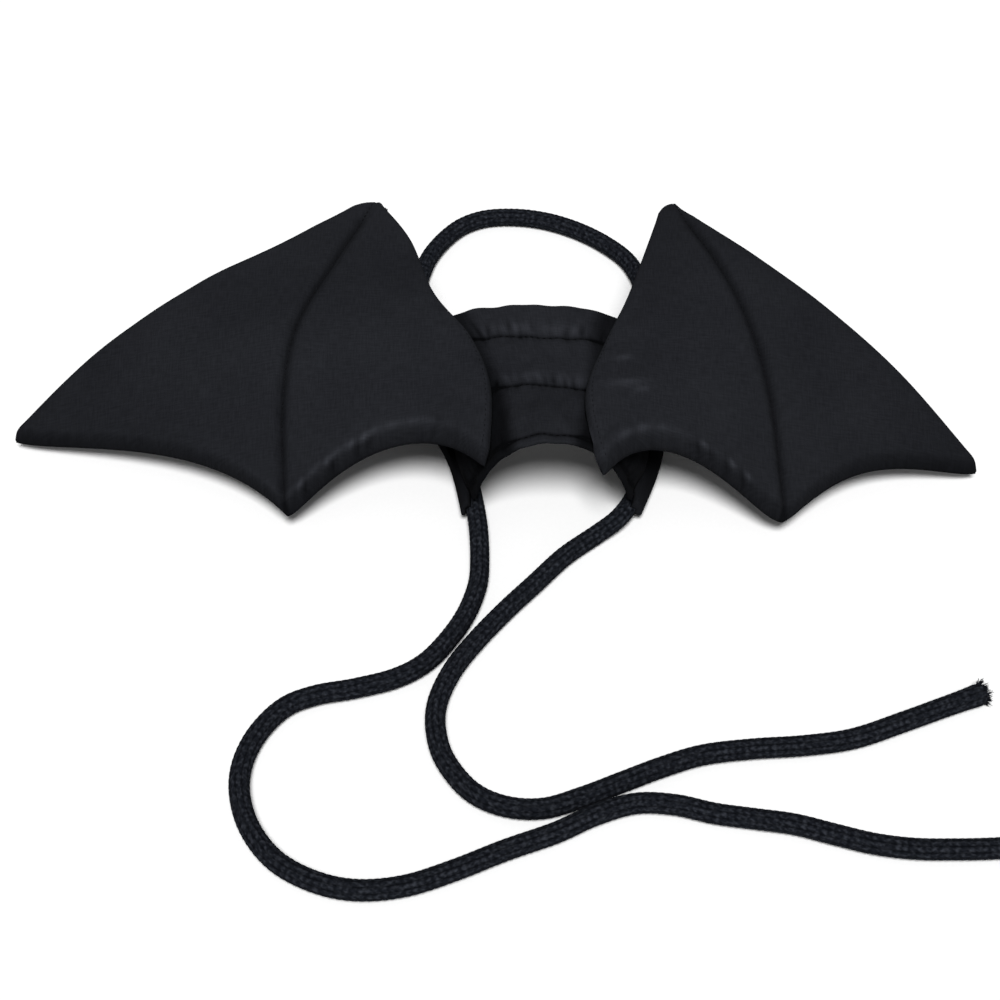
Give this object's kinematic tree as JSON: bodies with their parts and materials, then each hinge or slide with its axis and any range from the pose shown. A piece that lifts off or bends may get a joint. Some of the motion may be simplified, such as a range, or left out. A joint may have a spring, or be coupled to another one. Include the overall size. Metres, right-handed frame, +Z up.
{
  "type": "small pet bat wings costume",
  "caption": "Padded black bat wings sewn to a quilted neck saddle, with a cord through side casings that makes a neck loop and two tie ends.",
  "frame": {"origin": "on the surface that it lies on, under the middle of the outline of the wings, saddle and casings", "axes": "+X from the left wing's tip towards the right wing's tip, +Y from the front hem to the neck loop, +Z up"},
  "size_m": [0.3535, 0.2873, 0.0452],
  "materials": {
    "wing_cloth": "fine weave, soft sheen",
    "saddle_cloth": "fine weave, quilted",
    "cord": "knitted round cord"
  },
  "bodies": {
    "root": {"wing_left": "wing_cloth", "wing_right": "wing_cloth", "saddle": "saddle_cloth", "casing_left": "saddle_cloth", "casing_right": "saddle_cloth", "cord_neck_loop": "cord", "cord_end_left": "cord", "cord_end_right": "cord"}
  },
  "joints": []
}
